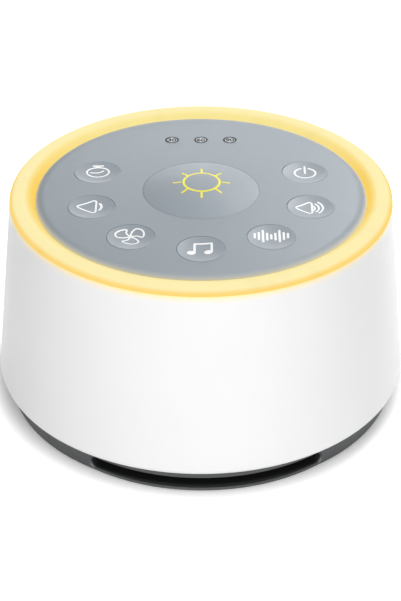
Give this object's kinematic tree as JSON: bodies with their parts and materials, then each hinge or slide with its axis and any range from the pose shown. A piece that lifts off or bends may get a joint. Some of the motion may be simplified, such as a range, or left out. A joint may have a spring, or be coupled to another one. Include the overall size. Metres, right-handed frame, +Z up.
{
  "type": "white noise sound machine",
  "caption": "Round bedside sound machine with a flared white body, a lit ring round a grey keypad, sprung dished keys, and a speaker that fires down through slots in a dark base.",
  "frame": {"origin": "on the table, under the centre of the round body", "axes": "+Z up, -Y the front, +Y the back with the two sockets"},
  "size_m": [0.1126, 0.1126, 0.0614],
  "materials": {
    "shell_white": "fine moulded texture, satin white",
    "ring_diffuser": "milky diffuser lit warm yellow from inside",
    "panel_grey": "smooth satin blue-grey",
    "key_grey": "smooth satin blue-grey, printed pictogram",
    "inner_white": "plain moulded white",
    "inner_black": "plain moulded black",
    "base_dark": "fine moulded texture, dark grey",
    "foot_rubber": "soft grey-black rubber",
    "light_pipe": "clear plastic with a printed ring and number",
    "board_green": "green solder mask",
    "board_white": "white solder mask",
    "chip_black": "moulded epoxy",
    "lamp_chip": "white package with yellow phosphor",
    "switch_black": "moulded black",
    "plunger_black": "moulded black",
    "screw_steel": "zinc plated",
    "basket_steel": "black painted pressed steel",
    "pole_steel": "zinc plated",
    "magnet_ferrite": "dark ground ferrite",
    "cone_paper": "pressed black pulp",
    "coil_copper": "enamelled copper wire",
    "surround_rubber": "black rubber",
    "spider_cloth": "treated yellow-brown cloth",
    "gasket_foam": "closed-cell foam",
    "terminal_board": "brown phenolic",
    "wire_insulation": "red and black insulation",
    "ribbon_grey": "grey ribbon",
    "cell_wrap": "plain shrink-wrapped metal can",
    "strap_black": "elastic band",
    "socket_steel": "nickel plated",
    "jack_black": "moulded black",
    "connector_white": "natural nylon"
  },
  "bodies": {
    "housing": {"baffle_screws": "screw_steel", "base_screws": "screw_steel", "base_tray": "base_dark", "battery_cell": "cell_wrap", "battery_cradle": "inner_black", "battery_leads": "wire_insulation", "battery_strap": "strap_black", "board_connectors": "connector_white", "body_shell": "shell_white", "chassis_screws": "screw_steel", "control_board": "board_green", "control_board_chips": "chip_black", "control_board_screws": "screw_steel", "indicator_leds": "lamp_chip", "indicator_light_pipes": "light_pipe", "key_switch_bodies": "switch_black", "lamp_board": "board_white", "lamp_chassis": "inner_white", "lamp_leads": "wire_insulation", "lamp_leds": "lamp_chip", "light_ring": "ring_diffuser", "main_board": "board_green", "main_board_components": "chip_black", "main_board_screws": "screw_steel", "panel_screws": "screw_steel", "phones_jack": "jack_black", "ribbon_cable": "ribbon_grey", "rubber_feet": "foot_rubber", "speaker_baffle": "inner_black", "speaker_basket": "basket_steel", "speaker_front_plate": "pole_steel", "speaker_gasket": "gasket_foam", "speaker_leads": "wire_insulation", "speaker_magnet": "magnet_ferrite", "speaker_screws": "screw_steel", "speaker_spider": "spider_cloth", "speaker_surround": "surround_rubber", "speaker_terminal_strip": "terminal_board", "speaker_yoke": "pole_steel", "top_panel": "panel_grey", "usb_socket": "socket_steel"},
    "lullaby_button": {"lullaby_key": "key_grey", "lullaby_switch_plunger": "plunger_black"},
    "noise_button": {"noise_key": "key_grey", "noise_switch_plunger": "plunger_black"},
    "volume_up_button": {"volume_up_key": "key_grey", "volume_up_switch_plunger": "plunger_black"},
    "power_button": {"power_key": "key_grey", "power_switch_plunger": "plunger_black"},
    "timer_button": {"timer_key": "key_grey", "timer_switch_plunger": "plunger_black"},
    "volume_down_button": {"volume_down_key": "key_grey", "volume_down_switch_plunger": "plunger_black"},
    "fan_button": {"fan_key": "key_grey", "fan_switch_plunger": "plunger_black"},
    "light_button": {"light_key": "key_grey", "light_switch_plunger": "plunger_black"},
    "cone": {"speaker_cone": "cone_paper", "speaker_dust_cap": "cone_paper", "speaker_voice_coil": "coil_copper"}
  },
  "joints": [
    {"name": "lullaby_press", "type": "slide", "parent": "housing", "child": "lullaby_button", "axis": [0, 0, -1], "range_m": [0, 0.0006], "stiffness_N_per_m": 800, "springref_m": -0.0005},
    {"name": "noise_press", "type": "slide", "parent": "housing", "child": "noise_button", "axis": [0, 0, -1], "range_m": [0, 0.0006], "stiffness_N_per_m": 800, "springref_m": -0.0005},
    {"name": "volume_up_press", "type": "slide", "parent": "housing", "child": "volume_up_button", "axis": [0, 0, -1], "range_m": [0, 0.0006], "stiffness_N_per_m": 800, "springref_m": -0.0005},
    {"name": "power_press", "type": "slide", "parent": "housing", "child": "power_button", "axis": [0, 0, -1], "range_m": [0, 0.0006], "stiffness_N_per_m": 800, "springref_m": -0.0005},
    {"name": "timer_press", "type": "slide", "parent": "housing", "child": "timer_button", "axis": [0, 0, -1], "range_m": [0, 0.0006], "stiffness_N_per_m": 800, "springref_m": -0.0005},
    {"name": "volume_down_press", "type": "slide", "parent": "housing", "child": "volume_down_button", "axis": [0, 0, -1], "range_m": [0, 0.0006], "stiffness_N_per_m": 800, "springref_m": -0.0005},
    {"name": "fan_press", "type": "slide", "parent": "housing", "child": "fan_button", "axis": [0, 0, -1], "range_m": [0, 0.0006], "stiffness_N_per_m": 800, "springref_m": -0.0005},
    {"name": "light_press", "type": "slide", "parent": "housing", "child": "light_button", "axis": [0, 0, -1], "range_m": [0, 0.0006], "stiffness_N_per_m": 800, "springref_m": -0.0005},
    {"name": "cone_stroke", "type": "slide", "parent": "housing", "child": "cone", "axis": [0, 0, -1], "range_m": [-0.0005, 0.0005], "stiffness_N_per_m": 1500, "deforming": ["speaker_surround", "speaker_spider"]}
  ]
}
